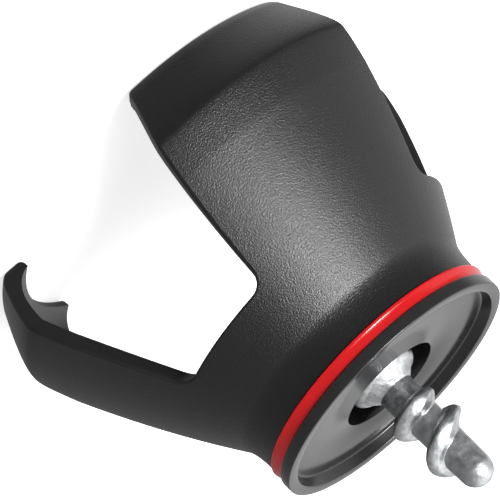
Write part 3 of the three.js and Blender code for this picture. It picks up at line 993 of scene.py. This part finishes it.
def studio_level(tree, place, side, levels, dot_range):
    """How bright the surroundings are in a direction: the first level where the dot product of its unit
    vector with the bright side's is below the range, the second above it, and a smooth step between."""
    toward = add(tree, "VectorMath", {0: place}, operation="NORMALIZE").outputs["Vector"]
    facing = add(tree, "VectorMath", {0: toward, 1: side}, operation="DOT_PRODUCT")
    return add(
        tree,
        "MapRange",
        {
            "Value": facing.outputs["Value"],
            "From Min": dot_range[0],
            "From Max": dot_range[1],
            "To Min": levels[0],
            "To Max": levels[1],
        },
        interpolation_type="SMOOTHSTEP",
    ).outputs["Result"]


# %% Make the floor
floor_size = 6.0
floor_drop = 0.05 * mm
half_floor = floor_size / 2
floor_corners = [(x * half_floor, y * half_floor, 0) for x, y in ((-1, -1), (1, -1), (1, 1), (-1, 1))]
floor_mesh = bpy.data.meshes.new("floor")
floor_mesh.from_pydata(floor_corners, [], [(0, 1, 2, 3)])
floor = bpy.data.objects.new("floor", floor_mesh)
floor.location.z = -floor_drop
floor.visible_shadow = False  # the studio's light from below its level still reaches the object
bpy.context.scene.collection.objects.link(floor)
print("floor:", floor_size, "m wide")

# %% The floor as the camera sees it
floor_shade = (0.8, 0.8, 0.8, 1)
floor_glow = 0.7  # light of its own, for the camera alone, so that it is white where no shadow falls
floor_finish = bpy.data.materials.new("pale_floor")
floor_tree = empty_tree(floor_finish)
path = add(floor_tree, "LightPath").outputs
glow = add(floor_tree, "Math", {0: path["Is Camera Ray"], 1: floor_glow}, operation="MULTIPLY")
shine = add(floor_tree, "Emission", {"Color": white, "Strength": glow.outputs[0]})
matte = add(floor_tree, "BsdfDiffuse", {"Color": floor_shade})
lit = add(floor_tree, "AddShader", {0: matte.outputs[0], 1: shine.outputs[0]})

# %% The floor as gloss mirrors it
# Glossy rays do not see the floor's lit shading. They see a glow of its own at levels set for each direction
# and distance: a painted reflection of the studio's light.
near_side = (-0.94, -0.34, 0)
near_levels = (0.34, 1.15)
near_range = (0.1, 1)
far_side = (-0.85, 0.53, 0)
far_levels = (0.26, 0.95)
far_range = (0.7, 0.95)
reach_range = (24 * mm, 36 * mm)  # from the object's middle: the near levels change to the far ones between
place = add(floor_tree, "TexCoord").outputs["Object"]
near_level = studio_level(floor_tree, place, near_side, near_levels, near_range)
far_level = studio_level(floor_tree, place, far_side, far_levels, far_range)
reach = add(floor_tree, "VectorMath", {0: place}, operation="LENGTH")
mirrored_level = add(
    floor_tree,
    "MapRange",
    {
        "Value": reach.outputs["Value"],
        "From Min": reach_range[0],
        "From Max": reach_range[1],
        "To Min": near_level,
        "To Max": far_level,
    },
    interpolation_type="SMOOTHSTEP",
).outputs["Result"]
mirrored = add(floor_tree, "Emission", {"Color": white, "Strength": mirrored_level})

# %% Put the two together
mirror_rays = {0: path["Is Glossy Ray"], 1: path["Is Transmission Ray"]}
mirror_path = add(floor_tree, "Math", mirror_rays, operation="MAXIMUM")
looks = {"Fac": mirror_path.outputs[0], 1: lit.outputs[0], 2: mirrored.outputs[0]}
whole = add(floor_tree, "MixShader", looks)
add(floor_tree, "OutputMaterial", {"Surface": whole.outputs[0]})
floor.data.materials.append(floor_finish)
print("the floor's finish has", len(floor_tree.nodes), "nodes")

# %% Light the world
world = bpy.data.worlds.new("studio")
bpy.context.scene.world = world
world_tree = empty_tree(world)
sky_place = add(world_tree, "TexCoord").outputs["Generated"]
sky_level = studio_level(world_tree, sky_place, sky_side, sky_levels, sky_range)
seen = add(world_tree, "LightPath").outputs["Is Camera Ray"]
strength = add(world_tree, "Math", {0: sky_level, 1: seen}, operation="MAXIMUM")  # the camera sees white
sky = add(world_tree, "Background", {"Color": white, "Strength": strength.outputs[0]})
add(world_tree, "OutputWorld", {"Surface": sky.outputs[0]})
print("the world has", len(world_tree.nodes), "nodes")


# %% Place the lamps
def round_lamp(name, direction, distance, width, power):
    """A round lamp off the aim point along a direction, facing back to it, sized in metres and watts."""
    lamp = bpy.data.lights.new(name, "AREA")
    lamp.shape = "DISK"
    lamp.size = width
    lamp.energy = power
    made = bpy.data.objects.new(name, lamp)
    direction = Vector(direction).normalized()
    made.location = aim + direction * distance
    made.rotation_mode = "QUATERNION"
    made.rotation_quaternion = direction.to_track_quat("Z", "Y")
    bpy.context.scene.collection.objects.link(made)
    print(name, "lamp at", [round(x, 2) for x in made.location])


key_shares = (0.64, -0.13, 0.75)  # to the right, up and towards the camera
key_direction = right * key_shares[0] + up * key_shares[1] + back * key_shares[2]
overhead_direction = (-0.17, 0.1, 0.95)
round_lamp("key", key_direction, distance=0.6, width=0.22, power=3.7)
round_lamp("fill", key_direction, distance=0.62, width=0.5, power=2.0)
round_lamp("overhead", overhead_direction, distance=0.6, width=1.0, power=2.3)

# %% [markdown]
# ## Colour
#
# The Standard view shows a colour about as it is written.

# %% Colour management
bpy.context.scene.view_settings.view_transform = "Standard"
